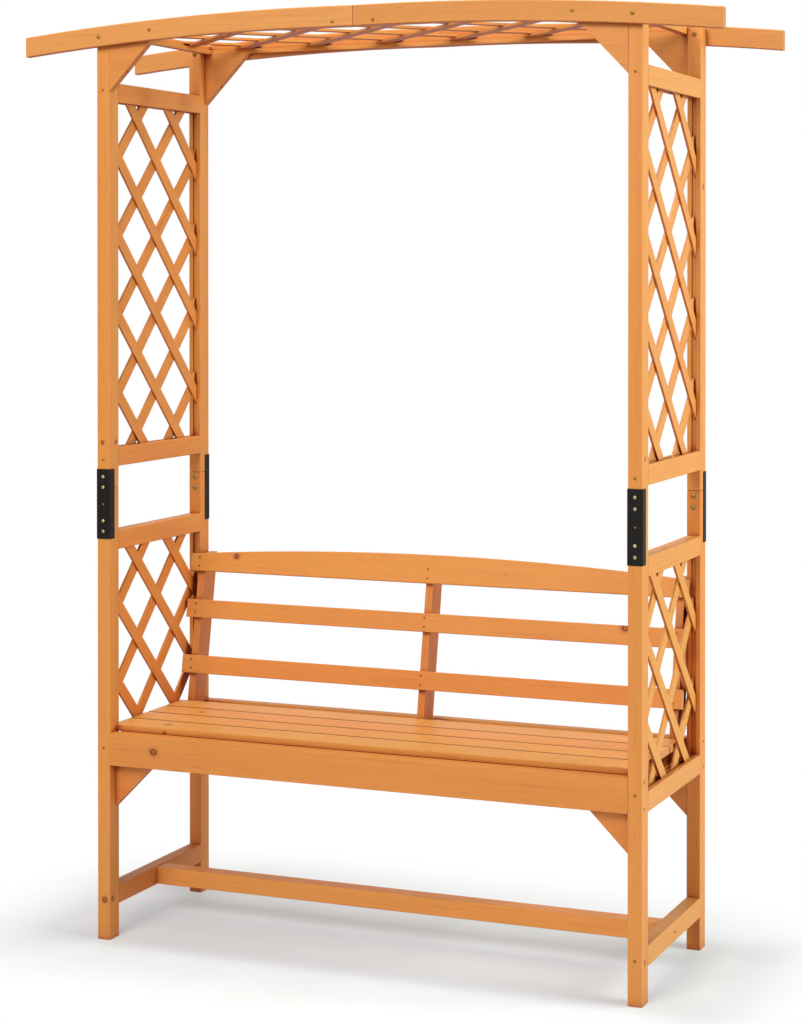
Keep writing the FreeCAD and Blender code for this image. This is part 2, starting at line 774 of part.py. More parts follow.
def roof_lattice():
    """Two flat layers in the rebates of the ledgers and the end rails."""
    half_length = inner_face - rebate_depth - (ledger_thickness - 2 * rebate_depth)
    half_width = half_depth - ledger_thickness + rebate_depth
    low = ledger_bottom + ledger_height - groove_width
    panel = box("roof_lattice_panel", 2 * half_length, 2 * half_width, groove_width,
                (-half_length, -half_width, low))
    layers = []
    rows = (
        ("lower", -45, low + strip_thickness / 2, lower_roof_shift, range(-4, 4)),
        ("upper", 45, low + strip_thickness * 1.5, upper_roof_shift, range(-4, 5)),
    )
    for layer, turn, z, shift, columns in rows:
        strips = []
        for column in columns:
            name = f"roof_{layer}_strip_{column - columns.start + 1}"
            strips.append(strip(name, ALONG_Z, turn, "z", 4 * half_width, (roof_pitch * column + shift, 0, z)))
        layers.append(strips)
    lattice("roof_lattice", layers, panel)


def splice_brackets():
    """A steel channel over each half lap, its web outside, with a spare hole."""
    for side in SIDES:
        for end in ENDS:
            name = f"{side}_{end}_splice_bracket"
            inner = post_width / 2
            outer = inner + bracket_steel
            channel = [
                (-outer, -bracket_steel), (outer, -bracket_steel), (outer, bracket_flange),
                (inner, bracket_flange), (inner, 0), (-inner, 0), (-inner, bracket_flange),
                (-outer, bracket_flange),
            ]
            body = padded(name + "_channel", "XY_Plane", channel, bracket_height)
            bends = []
            for number, edge in enumerate(body.Shape.Edges, start=1):
                middle = edge.CenterOfMass
                if abs(abs(middle.x) - outer.value) < 0.01 and abs(middle.y + bracket_steel.value) < 0.01:
                    bends.append(f"Edge{number}")
            bent_from = body.Tip
            bent = body.newObject("PartDesign::Fillet", name + "_bends")
            bent.Base = (bent_from, bends)
            bent.setExpression("Radius", bracket_bend.text)
            doc.recompute()
            before = body.Shape.Volume
            sketch = sketch_on(body, "XZ_Plane", name + "_holes")
            spread = (-far_screw_offset, -near_screw_offset, 0, near_screw_offset, far_screw_offset)
            for offset in spread:
                circle(sketch, 0, bracket_height / 2 + offset, bracket_hole)
            holes = body.newObject("PartDesign::Pocket", name + "_drilled")
            holes.Profile = sketch
            holes.Type = "ThroughAll"
            holes.SideType = "Symmetric"
            doc.recompute()
            expected = 5 * math.pi * bracket_hole.value ** 2 * bracket_steel.value
            assert abs(before - body.Shape.Volume - expected) < 1, name + ": the holes are wrong"
            turn = 0 if end == "front" else 180
            body.Placement = FreeCAD.Placement(FreeCAD.Vector(), FreeCAD.Rotation(ALONG_Z, turn))
            place(body, at_x(side, post_middle), at_y(end, 0), bracket_bottom)
            node(body, name)


def seat_cleat():
    """A flat batten behind the front apron that carries the front slat."""
    corner = (-cleat_half_length, low_y("front", apron_thickness, cleat_width), seat_underside - cleat_height)
    stock = box("front_seat_cleat_stock", 2 * cleat_half_length, cleat_width, cleat_height, corner)
    node(cut(eased(stock, ALONG_X), [small_fixings], "front_seat_cleat"), "front_seat_cleat")
    return stock


def bearers():
    """Three battens from apron to apron, with a stub tenon at each end and the
    same notch on top at each end; the front one takes the cleat."""
    length = frame_depth - 2 * apron_thickness
    bottom = seat_underside - bearer_height
    made = []
    for kind, centre in bearer_places.items():
        name = f"{kind}_seat_bearer"
        rail = box(name + "_rail", bearer_width, length, bearer_height,
                   (centre - bearer_width / 2, -length / 2, bottom))
        tenon_width = bearer_width - 2 * tenon_shoulder
        tenons = box(name + "_tenons", tenon_width, length + 2 * tenon_length,
                     bearer_height - 2 * tenon_shoulder,
                     (centre - tenon_width / 2, -length / 2 - tenon_length, bottom))
        whole = doc.addObject("Part::Fuse", name + "_whole")
        whole.Base = rail
        whole.Tool = tenons
        rear_notch = box(name + "_rear_notch", bearer_width, cleat_width, cleat_height,
                         (centre - bearer_width / 2, low_y("rear", apron_thickness, cleat_width),
                          seat_underside - cleat_height))
        made.append(node(cut(whole, [cleat_space, rear_notch, small_fixings], name), name))
    return made


def aprons():
    """Front and rear boards between the posts, mortised for the bearers."""
    for end in ENDS:
        name = f"{end}_apron"
        stock = box(name + "_stock", 2 * inner_face, apron_thickness, apron_height,
                    (-inner_face, low_y(end, 0, apron_thickness), apron_bottom))
        node(cut(eased(stock, ALONG_X), seat_bearers + [frame_fixings, small_fixings], name), name)


def seat_slats():
    """Four slats; the front one is notched round the front posts."""
    half_length = inner_face + slat_overhang
    for number in range(SLAT_COUNT):
        name = f"seat_slat_{number + 1}"
        corner = (-half_length, slat_setback - half_depth + slat_pitch * number, seat_underside)
        stock = box(name + "_stock", 2 * half_length, slat_width, slat_thickness, corner)
        tools = [small_fixings]
        if number == 0:
            for side in SIDES:
                corner = (low_x(side, inner_face, 2 * slat_overhang), -half_depth, seat_underside - slat_thickness)
                tools.append(box(f"{name}_{side}_notch", 2 * slat_overhang, post_depth, 3 * slat_thickness, corner))
        node(cut(eased(stock, ALONG_X), tools, name), name)


def back_uprights():
    """Three leaning uprights with level ends."""
    drop = back_slope * (apron_bottom - seat_top)
    rise = back_slope * (upright_top - seat_top)
    profile = [
        (back_line + drop, apron_bottom),
        (back_line + drop + upright_run, apron_bottom),
        (back_line + rise + upright_run, upright_top),
        (back_line + rise, upright_top),
    ]
    places = (
        ("left", -upright_face["left"] - upright_width),
        ("middle", middle_upright_shift - upright_width / 2),
        ("right", upright_face["right"]),
    )
    for kind, x in places:
        name = f"{kind}_back_upright"
        body = padded(name + "_stock", "YZ_Plane", profile, upright_width)
        place(body, x, 0, 0)
        node(cut(body, [small_fixings], name), name)


def set_leaning(piece, x, y, up):
    """Lean a piece back about the foot of the back, at the seat's top."""
    y, z = lean_back(y, up)
    piece.Placement = FreeCAD.Placement(FreeCAD.Vector(), FreeCAD.Rotation(ALONG_X, -lean))
    place(piece, x, y, z)


def back_rails():
    """Two straight rails and an arched crest rail on the fronts of the uprights."""
    half_length = inner_face + back_rail_overhang
    for kind, up in (("lower_back_rail", lower_back_rail_up), ("middle_back_rail", middle_back_rail_up)):
        stock = box(kind + "_stock", 2 * half_length, back_rail_thickness, back_rail_height, (0, 0, 0))
        rail = eased(stock, ALONG_X)
        set_leaning(stock, -half_length, -back_rail_thickness, up)
        node(cut(rail, [small_fixings], kind), kind)
    arc_radius = (half_length * half_length + crest_rise * crest_rise) / (2 * crest_rise)
    profile = [
        (-half_length, 0), (half_length, 0), (half_length, crest_end_height), (-half_length, crest_end_height),
    ]
    body = padded("crest_rail_stock", "XZ_Plane", profile, back_rail_thickness, {2: arc_radius})
    ease_long_edges(body)
    set_leaning(body, 0, -back_rail_thickness, crest_up)
    node(cut(body, [small_fixings], "crest_rail"), "crest_rail")


def ease_long_edges(body):
    """Chamfer the edges of a padded board that run its length."""
    longest = max(edge.Length for edge in body.Shape.Edges)
    long_edges = []
    for number, edge in enumerate(body.Shape.Edges, start=1):
        if edge.Length > longest / 2:
            long_edges.append(f"Edge{number}")
    sharp = body.Tip
    eased_board = body.newObject("PartDesign::Chamfer", body.Name + "_eased")
    eased_board.Base = (sharp, long_edges)
    eased_board.setExpression("Size", edge_chamfer.text)
    doc.recompute()


def gussets():
    """Triangles in the corners under the roof and behind the aprons."""
    seat_gusset_top = apron_bottom + seat_gusset_lap
    kinds = (
        ("top", ledger_bottom, top_gusset_run, top_gusset_drop, top_gusset_thickness, as_size(0)),
        ("seat", seat_gusset_top, seat_gusset_leg, seat_gusset_leg, seat_gusset_thickness, apron_thickness),
    )
    for level, top, run, drop, thickness, setback in kinds:
        name = f"{level}_gussets"
        triangles = []
        for end in ENDS:
            for side in SIDES:
                profile = [
                    (at_x(side, inner_face), top - drop),
                    (at_x(side, inner_face), top),
                    (at_x(side, inner_face - run), top),
                ]
                body = padded(f"{end}_{side}_{level}_gusset", "XZ_Plane", profile, thickness)
                place(body, 0, low_y(end, setback, thickness), 0)
                triangles.append(body)
        node(cut(compound(name + "_sawn", triangles), [small_fixings, gusset_bores], name), name)


def foot_stretcher():
    """The long rail between the two foot rails."""
    bottom = foot_screw_height - stretcher_height / 2
    stock = box("foot_stretcher_stock", 2 * inner_face, stretcher_width, stretcher_height,
                (-inner_face, -stretcher_width / 2, bottom))
    node(cut(eased(stock, ALONG_X), [frame_fixings], "foot_stretcher"), "foot_stretcher")


def roof_beams():
    """Arched beams front and rear, each in two halves that meet in the middle.
    Each half has its own crown, a little outside the joint."""
    for end in ENDS:
        for side in SIDES:
            name = f"{end}_{side}_beam"
            joint = at_x(side, beam_joint_gap / 2)
            profile = [
                (joint, beam_middle),
                (at_x(side, beam_half_length), beam_eaves),
                (at_x(side, beam_half_length), beam_eaves + beam_height),
                (joint, beam_middle + beam_height),
            ]
            body = padded(name + "_stock", "XZ_Plane", profile, beam_thickness, {0: beam_radius, 2: beam_radius})
            ease_long_edges(body)
            place(body, 0, low_y(end, -beam_thickness, beam_thickness), 0)
            node(cut(body, [beam_fixings], name), name)


def roof_ledgers():
    """Straight battens behind the beams, rebated on top for the lattice."""
    rebate_height = 2 * strip_thickness
    rebate_bottom = ledger_bottom + ledger_height - rebate_height
    for end in ENDS:
        name = f"{end}_ledger"
        stock = box(name + "_stock", 2 * inner_face, ledger_thickness, ledger_height,
                    (-inner_face, low_y(end, 0, ledger_thickness), ledger_bottom))
        rebate = box(name + "_rebate", 2 * inner_face, rebate_depth, rebate_height,
                     (-inner_face, low_y(end, ledger_thickness - rebate_depth, rebate_depth), rebate_bottom))
        node(cut(stock, [rebate, beam_fixings, small_fixings], name), name)
    length = frame_depth - 2 * ledger_thickness
    for side in SIDES:
        name = f"{side}_roof_end_rail"
        start = inner_face - ledger_thickness
        stock = box(name + "_stock", ledger_thickness, length, ledger_height,
                    (low_x(side, start, ledger_thickness), -length / 2, ledger_bottom))
        rebate = box(name + "_rebate", rebate_depth, length, rebate_height,
                     (low_x(side, start, rebate_depth), -length / 2, rebate_bottom))
        node(cut(stock, [rebate, small_fixings], name), name)


sink_bore = doc.addObject("Part::Cylinder", "sink_bore")
sink_bore.setExpression("Radius", (wood_screw_head / 2).text)
sink_bore.setExpression("Height", (2 * wood_screw_head).text)

channel_fixings = bracket_screws()
lap_fixings = lap_bolts()
beam_fixings = beam_bolts()
frame_fixings = frame_screws()
small_fixings, gusset_bores = wood_screws()
posts()
side_rails()
side_lattices()
splice_brackets()
cleat_space = seat_cleat()
seat_bearers = bearers()
aprons()
seat_slats()
back_uprights()
back_rails()
gussets()
foot_stretcher()
roof_beams()
roof_ledgers()
roof_lattice()

doc.recompute()
for item in doc.Objects:
    if "Invalid" in item.State or "Error" in item.State:
        raise RuntimeError(f"{item.Label} is {item.State}")
for piece in nodes:
    if piece.Shape.isNull() or not piece.Shape.isValid():
        raise RuntimeError(f"{piece.Label} has no valid shape")

os.makedirs("parts", exist_ok=True)
for piece in nodes:
    piece.Shape.exportStep(f"parts/{piece.Label}.step")

whole = Part.makeCompound([piece.Shape for piece in nodes])
print(len(nodes), "nodes", sum(len(piece.Shape.Solids) for piece in nodes), "solids")
print("box", whole.BoundBox)
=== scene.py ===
import math
import random

import bpy
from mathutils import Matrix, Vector


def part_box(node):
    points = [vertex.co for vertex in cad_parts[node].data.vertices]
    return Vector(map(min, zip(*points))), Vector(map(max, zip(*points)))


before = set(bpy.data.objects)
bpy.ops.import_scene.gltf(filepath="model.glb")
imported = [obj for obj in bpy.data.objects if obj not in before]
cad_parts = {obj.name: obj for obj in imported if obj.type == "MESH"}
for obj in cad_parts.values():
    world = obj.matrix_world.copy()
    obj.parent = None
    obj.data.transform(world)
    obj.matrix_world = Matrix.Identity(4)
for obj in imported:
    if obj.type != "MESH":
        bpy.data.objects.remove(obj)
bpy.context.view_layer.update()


# The camera stands in front of the seat and to its right, a little under eye
# height. It tips down by half a degree and its lens is shifted down for the rest.

photographer = bpy.data.cameras.new("camera")
photographer.lens = 81.85
photographer.sensor_width = 36
photographer.shift_y = -0.2136
camera = bpy.data.objects.new("camera", photographer)
camera.location = (1.9653, -4.6494, 1.4543)
camera.rotation_euler = (math.radians(89.5), 0, math.radians(22.887))
bpy.context.scene.collection.objects.link(camera)
bpy.context.scene.camera = camera


# Posts. Four posts of planed fir, each made of a lower and an upper length that
# are lapped half and half. All the timber of the seat is dipped in a
# honey-coloured stain that lets the rings, fibres and knots show through.

POST_STAIN = (0.700, 0.250, 0.051)
# The lower posts are stained darker and redder, which paints the shade low down and under the
# seat.
LOWER_POST_SHADED_STAINS = {"front": (0.675, 0.238, 0.048), "rear": (0.715, 0.224, 0.042)}


class Finish:
    """A finish being mixed. Each step adds one part of it and gives back its output."""

    def __init__(self, name):
        self.material = bpy.data.materials.new(name)
        self.material.use_nodes = True
        self.tree = self.material.node_tree
        self.shader = self.tree.nodes["Principled BSDF"]

    def step(self, kind, *inputs, output=0, **settings):
        made = self.tree.nodes.new("ShaderNode" + kind)
        for setting, value in settings.items():
            setattr(made, setting, value)
        for socket, value in zip(made.inputs, inputs):
            self.feed(socket, value)
        return made.outputs[output]

    def feed(self, socket, value):
        if isinstance(value, bpy.types.NodeSocket):
            self.tree.links.new(value, socket)
        elif value is not None:
            socket.default_value = value

    def sum(self, first, second):
        return self.step("Math", first, second, operation="ADD")

    def times(self, first, second):
        return self.step("Math", first, second, operation="MULTIPLY")

    def rise(self, value, low, high, start=0.0, end=1.0):
        """Goes smoothly from start to end while value goes from low to high."""
        return self.step("MapRange", value, low, high, start, end, interpolation_type="SMOOTHSTEP")

    def noise(self, where, scale, detail=2.0, roughness=0.5):
        return self.step("TexNoise", where, None, scale, detail, roughness)

    def stretch(self, where, factors):
        return self.step("VectorMath", where, factors, operation="MULTIPLY")

    def tint(self, amount, under, over, way="MIX"):
        """Lays one colour over another."""
        made = self.tree.nodes.new("ShaderNodeMix")
        made.data_type = "RGBA"
        made.blend_type = way
        self.feed(made.inputs[0], amount)
        for socket, value in ((made.inputs[6], under), (made.inputs[7], over)):
            self.feed(socket, (*value, 1) if isinstance(value, tuple) else value)
        return made.outputs[2]


def in_board(point, grain):
    """The same point with the grain's axis last."""
    x, y, z = point
    return {"x": (y, z, x), "y": (x, z, y), "z": (x, y, z)}[grain]


def middle_of(node):
    low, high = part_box(node)
    return (Vector(low) + Vector(high)) / 2


# A knot looks a little longer along the grain than across it.
KNOT_SQUEEZE = 0.86


def knot_reach(finish, board, knot, grain, middle):
    """How far each place is from a knot, in knot radii, measured across its face."""
    place, radius, through = knot
    flat = [0.0 if axis == through else 1 / radius for axis in "xyz"]
    centre = in_board(Vector(place) - middle, grain)
    away = finish.step("VectorMath", board, centre, operation="SUBTRACT")
    along = in_board(flat, grain)
    scaled = finish.stretch(away, (along[0], along[1], along[2] * KNOT_SQUEEZE))
    return finish.step("VectorMath", scaled, output=1, operation="LENGTH")


# Year rings. They wander, taper along the board, and swerve round a knot by its
# radius times KNOT_SWERVE, less and less out to SWERVE_FAR radii. Each grain says
# how fine a pattern is, per metre: twice across the board, then along it.
RING_SPACING = 0.0064
RING_WANDER = 0.030
RING_TAPER = 0.02
KNOT_SWERVE = 1.6
SWERVE_NEAR = 0.6
SWERVE_FAR = 3.4
WANDER_GRAIN = (9, 9, 1.5)
RING_GRAIN = (26, 26, 5)


def winter_wood(finish, board, shifted, pith, knots, reaches):
    """1 in the dark late wood of each year ring, 0 in the pale early wood."""
    wander = finish.noise(finish.stretch(shifted, WANDER_GRAIN), 1.0, 2.0, 0.45)
    centred = finish.step("VectorMath", board, pith, operation="SUBTRACT")
    flattened = finish.stretch(centred, (1, 1, RING_TAPER))
    field = finish.step("VectorMath", flattened, output=1, operation="LENGTH")
    field = finish.sum(field, finish.times(wander, RING_WANDER))
    for reach, knot in zip(reaches, knots):
        swerve = finish.rise(reach, SWERVE_NEAR, SWERVE_FAR, knot[1] * KNOT_SWERVE, 0.0)
        field = finish.sum(field, swerve)
    year = finish.step("Math", finish.times(field, 1 / RING_SPACING), operation="FRACT")
    darkening = finish.rise(year, 0.20, 0.80)
    paling = finish.rise(year, 0.84, 1.0, 1.0, 0.0)
    winter = finish.times(darkening, paling)
    patches = finish.noise(finish.stretch(shifted, RING_GRAIN), 1.0, 2.0, 0.5)
    return finish.times(winter, finish.rise(patches, 0.35, 0.7))


WINTER_STAIN = (0.560, 0.165, 0.028)
WINTER_SHARE = 0.20
FIBRE_SHARE = 0.22
STREAK_STAIN = (0.45, 0.125, 0.024)
STREAK_SHARE = 0.30
STREAK_GRAIN = (120, 120, 3.5)
GOLDEN_STAIN = (0.79, 0.320, 0.072)
GOLDEN_SHARE = 0.30
TONE_GRAIN = (16, 16, 1.3)
TICK_STAIN = (0.42, 0.125, 0.022)
TICK_SHARE = 0.55
TICK_GRAIN = (230, 230, 17)


def clear_wood(finish, shifted, stain, winter, fibre):
    """The stain on wood without knots, with rings, fibres, streaks and short ticks."""
    streak = finish.noise(finish.stretch(shifted, STREAK_GRAIN), 1.0, 2.0, 0.5)
    tone = finish.noise(finish.stretch(shifted, TONE_GRAIN), 1.0, 2.0, 0.5)
    tick = finish.noise(finish.stretch(shifted, TICK_GRAIN), 1.0, 2.0, 0.6)
    colour = finish.tint(finish.times(winter, WINTER_SHARE), stain, WINTER_STAIN)
    dark_fibre = finish.rise(fibre, 0.45, 0.75, 0.0, FIBRE_SHARE)
    colour = finish.tint(dark_fibre, colour, WINTER_STAIN)
    dark_streak = finish.rise(streak, 0.58, 0.74, 0.0, STREAK_SHARE)
    colour = finish.tint(dark_streak, colour, STREAK_STAIN)
    golden = finish.rise(tone, 0.3, 0.7, 0.0, GOLDEN_SHARE)
    colour = finish.tint(golden, colour, GOLDEN_STAIN)
    dark_tick = finish.rise(tick, 0.66, 0.76, 0.0, TICK_SHARE)
    return finish.tint(dark_tick, colour, TICK_STAIN)


KNOT_HALO_STAIN = (0.42, 0.13, 0.035)
KNOT_HALO_SHARE = 0.45
KNOT_HEART_STAIN = (0.47, 0.110, 0.020)
KNOT_RIM_STAIN = (0.17, 0.028, 0.004)
KNOT_RAGGEDNESS = 0.5


def knotted(finish, colour, reaches, fibre):
    """A dark rim, a lighter heart and a faint halo where each knot is."""
    for reach in reaches:
        tear = finish.times(finish.sum(fibre, -0.5), KNOT_RAGGEDNESS)
        ragged = finish.sum(reach, tear)
        halo = finish.rise(ragged, 0.9, 2.3, KNOT_HALO_SHARE, 0.0)
        colour = finish.tint(halo, colour, KNOT_HALO_STAIN)
        towards_rim = finish.rise(ragged, 0.15, 0.85)
        wood_of_knot = finish.tint(towards_rim, KNOT_HEART_STAIN, KNOT_RIM_STAIN)
        inside = finish.rise(ragged, 0.86, 1.06, 1.0, 0.0)
        colour = finish.tint(inside, colour, wood_of_knot)
    return colour


# Painted shade over the stain: crevices and deep corners, found by ambient occlusion, are darkened
# where shade falls.
CREVICE_PAINTED_SHADE = (0.42, 0.15, 0.06)
CREVICE_REACH = 0.020
RECESS_PAINTED_SHADE = (0.75, 0.45, 0.37)
RECESS_REACH = 0.16
UNDERSIDE_PAINTED_SHADE = (0.52, 0.30, 0.24)
FLANK_PAINTED_SHADE = (0.84, 0.62, 0.58)


def darkened(finish, colour, flanks):
    """Painted shade: darker in crevices, in deep corners, on the undersides and on the flanks."""
    open_air = finish.step("AmbientOcclusion", None, CREVICE_REACH, output=1)
    crevice = finish.rise(open_air, 0.10, 0.85, 1.0, 0.0)
    colour = finish.tint(crevice, colour, CREVICE_PAINTED_SHADE, "MULTIPLY")
    open_room = finish.step("AmbientOcclusion", None, RECESS_REACH, output=1)
    recess = finish.rise(open_room, 0.20, 0.64, 1.0, 0.0)
    colour = finish.tint(recess, colour, RECESS_PAINTED_SHADE, "MULTIPLY")
    # Painted shade on the faces that look down.
    facing = finish.step("SeparateXYZ", finish.step("TexCoord", output=1), output=2)
    underside = finish.rise(facing, -0.9, -0.4, 1.0, 0.0)
    colour = finish.tint(underside, colour, UNDERSIDE_PAINTED_SHADE, "MULTIPLY")
    # Painted shade on the flanks.
    if flanks is not None:
        colour = finish.tint(flanks, colour, FLANK_PAINTED_SHADE, "MULTIPLY")
    return colour


# The heart of the tree lies between these distances from the middle of a board.
PITH_NEAR = 0.022
PITH_FAR = 0.070
FIBRE_GRAIN = (420, 420, 9)
FIBRE_RELIEF = 0.0006
SMOOTHEST = 0.42
ROUGHEST = 0.56
END_GRAIN_STAIN = (0.42, 0.135, 0.030)
END_GRAIN_SHARE = 0.45
# The painted shade of the gap along the edge of a board that lies close to the next.
SEAM_PAINTED_SHADE = (0.34, 0.10, 0.022)


def fir(finish, board, luck, stain, knots=(), grain="z", middle=Vector((0, 0, 0)),
        end_grain=None, edge=None, flanks=None):
    """Rings, fibres, knots and tone of one stained board, wired to the shader."""
    place_in_tree = (luck.uniform(-9, 9), luck.uniform(-9, 9), luck.uniform(-9, 9))
    away = luck.uniform(PITH_NEAR, PITH_FAR)
    turned = luck.uniform(0, 2 * math.pi)
    pith = (away * math.cos(turned), away * math.sin(turned), 0.0)
    own_stain = tuple(channel * luck.uniform(0.97, 1.05) for channel in stain)
    shifted = finish.step("VectorMath", board, place_in_tree, operation="ADD")
    reaches = [knot_reach(finish, board, knot, grain, middle) for knot in knots]
    winter = winter_wood(finish, board, shifted, pith, knots, reaches)
    fibre = finish.noise(finish.stretch(shifted, FIBRE_GRAIN), 1.0, 3.0, 0.6)
    colour = clear_wood(finish, shifted, own_stain, winter, fibre)
    colour = knotted(finish, colour, reaches, fibre)
    if end_grain is not None:
        colour = finish.tint(finish.times(end_grain, END_GRAIN_SHARE), colour, END_GRAIN_STAIN)
    # Painted shade along the edges next to the gaps.
    if edge is not None:
        colour = finish.tint(edge, colour, SEAM_PAINTED_SHADE)
    colour = darkened(finish, colour, flanks)
    height = finish.sum(finish.times(fibre, 0.7), finish.times(winter, 0.3))
    relief = finish.step("Bump", 0.22, FIBRE_RELIEF, None, height)
    roughness = finish.rise(fibre, 0.3, 0.7, SMOOTHEST, ROUGHEST)
    finish.feed(finish.shader.inputs["Base Color"], colour)
    finish.feed(finish.shader.inputs["Roughness"], roughness)
    finish.feed(finish.shader.inputs["Normal"], relief)
    finish.shader.inputs["IOR"].default_value = 1.45
    finish.shader.inputs["Specular IOR Level"].default_value = 0.34
    return finish.material


def board_of(finish, grain, middle, lean=0.0):
    """Coordinates of one board: measured from its middle, the grain's axis last."""
    place = finish.step("TexCoord", output=3)
    own = finish.step("VectorMath", place, tuple(middle), operation="SUBTRACT")
    if lean:
        own = finish.step("VectorRotate", own, (0, 0, 0), None, lean, rotation_type="X_AXIS")
    split = finish.step("SeparateXYZ", own).node
    order = in_board("XYZ", grain)
    return finish.step("CombineXYZ", *[split.outputs[axis] for axis in order])


def end_of_board(finish, grain, lean=0.0):
    """1 on the sawn ends, 0 along the sides."""
    facing = finish.step("TexCoord", output=1)
    if lean:
        facing = finish.step("VectorRotate", facing, (0, 0, 0), None, lean, rotation_type="X_AXIS")
    split = finish.step("SeparateXYZ", facing).node
    level = finish.step("Math", split.outputs[grain.upper()], operation="ABSOLUTE")
    return finish.rise(level, 0.80, 0.95)


# How far inside a board's edge its painted gap shade starts, and where it is full.
SEAM_STARTS = 0.0021
SEAM_FULL = 0.0015


def painted_gap_shade(finish, board, sides, half_width):
    """1 along the edges where the next board lies close and the shade in the gap is painted."""
    across = finish.step("SeparateXYZ", board).node.outputs["X"]
    dark = []
    for side in sides:
        towards = finish.times(across, float(side))
        dark.append(finish.rise(towards, half_width - SEAM_STARTS, half_width - SEAM_FULL))
    return dark[0] if len(dark) == 1 else finish.sum(*dark)


def flanks_of_board(finish):
    """1 on the faces that look left and right, which get painted shade, 0 elsewhere."""
    facing = finish.step("SeparateXYZ", finish.step("TexCoord", output=1))
    return finish.rise(finish.step("Math", facing, operation="ABSOLUTE"), 0.5, 0.8)


def stained_board(node, grain, stain=POST_STAIN, knots=(), lean=0.0, close_sides=(),
                  half_width=0.0, shaded_flanks=False):
    """Give one timber node its own board of fir."""
    luck = random.Random(node)
    finish = Finish("fir_" + node)
    middle = middle_of(node)
    board = board_of(finish, grain, middle, lean)
    sawn = end_of_board(finish, grain, lean)
    edge = painted_gap_shade(finish, board, close_sides, half_width) if close_sides else None
    flanks = flanks_of_board(finish) if shaded_flanks else None
    dress(node, fir(finish, board, luck, stain, knots, grain, middle, sawn, edge, flanks))


def dress(node, material):
    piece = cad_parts[node]
    if not piece.material_slots:
        piece.data.materials.append(material)
    for place in piece.material_slots:
        place.material = material


# Each knot: its middle, its radius and the axis it runs along.
post_knots = {
    "left_front_upper_post": [
        ((-0.605, -0.2325, 1.085), 0.004, "y"),
        ((-0.589, -0.205, 1.085), 0.004, "x"),
    ],
    "right_front_upper_post": [((0.6175, -0.213, 1.085), 0.004, "x")],
    "right_rear_upper_post": [((0.6175, 0.212, 1.64), 0.005, "x")],
    "left_front_lower_post": [
        ((-0.6005, -0.2325, 0.0870), 0.0060, "y"),
        ((-0.588, -0.221, 0.0885), 0.0052, "x"),
    ],
    "right_front_lower_post": [((0.6175, -0.213, 0.085), 0.0045, "x")],
}
for side in ("left", "right"):
    for end, lower_stain in LOWER_POST_SHADED_STAINS.items():
        for length, stain in (("lower", lower_stain), ("upper", POST_STAIN)):
            post = f"{side}_{end}_{length}_post"
            stained_board(post, "z", stain, post_knots.get(post, ()))


# Side rails. Five short rails tie the posts of each side together; four of them
# are grooved for the lattice. The same fir, its grain running front to back.

# The left rails are stained redder and the left foot rail darker, which paints the shade inside
# the left side; the right rails are stained more golden, which paints the light on faces that look
# right.
RAIL_LIT_AND_SHADED_STAINS = {"left": (0.710, 0.228, 0.043), "right": (0.690, 0.256, 0.054)}
LEFT_FOOT_RAIL_SHADED_STAIN = (0.620, 0.178, 0.034)
for side, stain in RAIL_LIT_AND_SHADED_STAINS.items():
    for kind in ("seat", "arm", "panel", "top"):
        stained_board(f"{side}_{kind}_rail", "y", stain)
stained_board("left_foot_rail", "y", LEFT_FOOT_RAIL_SHADED_STAIN)
stained_board("right_foot_rail", "y", RAIL_LIT_AND_SHADED_STAINS["right"])


# Lattice. Thin strips in two crossed layers, their ends in the grooves of the
# posts and rails. Each strip is its own piece of the same fir, so each has its
# own run of fibres along its length.

# The left strips are stained redder, which paints shade, and the right strips more golden, which
# paints the light on faces that look right.
STRIP_STAINS_WITH_PAINTED_LIGHT = {
    "left": (0.740, 0.226, 0.041),
    "right": (0.690, 0.256, 0.052),
    "roof": (0.700, 0.236, 0.045),
}
SIDE_PITCH = 0.1735
ROOF_PITCH = 0.1785
ROOF_STEPS = {"lower": 0.035, "upper": 0.702}
LAYER_STEP = 40.0
STRIP_SPREAD = (0.9, 0.9, 7.0)


def crossed_strips(node, stain, layer_axis, turn_kind, pitch, lower_step=0.0, upper_step=0.0):
    """Give every strip of a lattice its own place in the wood, by layer and number."""
    luck = random.Random(node)
    finish = Finish("fir_" + node)
    place = finish.step("TexCoord", output=3)
    own = finish.step("VectorMath", place, tuple(middle_of(node)), operation="SUBTRACT")
    split = finish.step("SeparateXYZ", own).node
    upper = finish.step("Math", split.outputs[layer_axis], 0.0, operation="GREATER_THAN")
    angle = finish.rise(upper, 0.0, 1.0, -math.pi / 4, math.pi / 4)
    if layer_axis == "Z":
        angle = finish.times(angle, -1.0)
    turned = finish.step("VectorRotate", own, (0, 0, 0), None, angle, rotation_type=turn_kind)
    along = finish.step("SeparateXYZ", turned).node
    run, across, thick = ("Y", "Z", "X") if layer_axis == "X" else ("X", "Y", "Z")
    step = finish.rise(upper, 0.0, 1.0, lower_step, upper_step)
    count = finish.sum(finish.times(along.outputs[across], math.sqrt(2) / pitch), step)
    place_in_layer = finish.step("Math", count, operation="FLOOR")
    number = finish.sum(place_in_layer, finish.times(upper, LAYER_STEP))
    lot = finish.step("TexWhiteNoise", None, number, noise_dimensions="1D", output=1)
    spread = finish.stretch(lot, STRIP_SPREAD)
    order = [along.outputs[axis] for axis in (across, thick, run)]
    strip = finish.step("CombineXYZ", *order)
    strip = finish.step("VectorMath", strip, spread, operation="ADD")
    dress(node, fir(finish, strip, luck, stain))


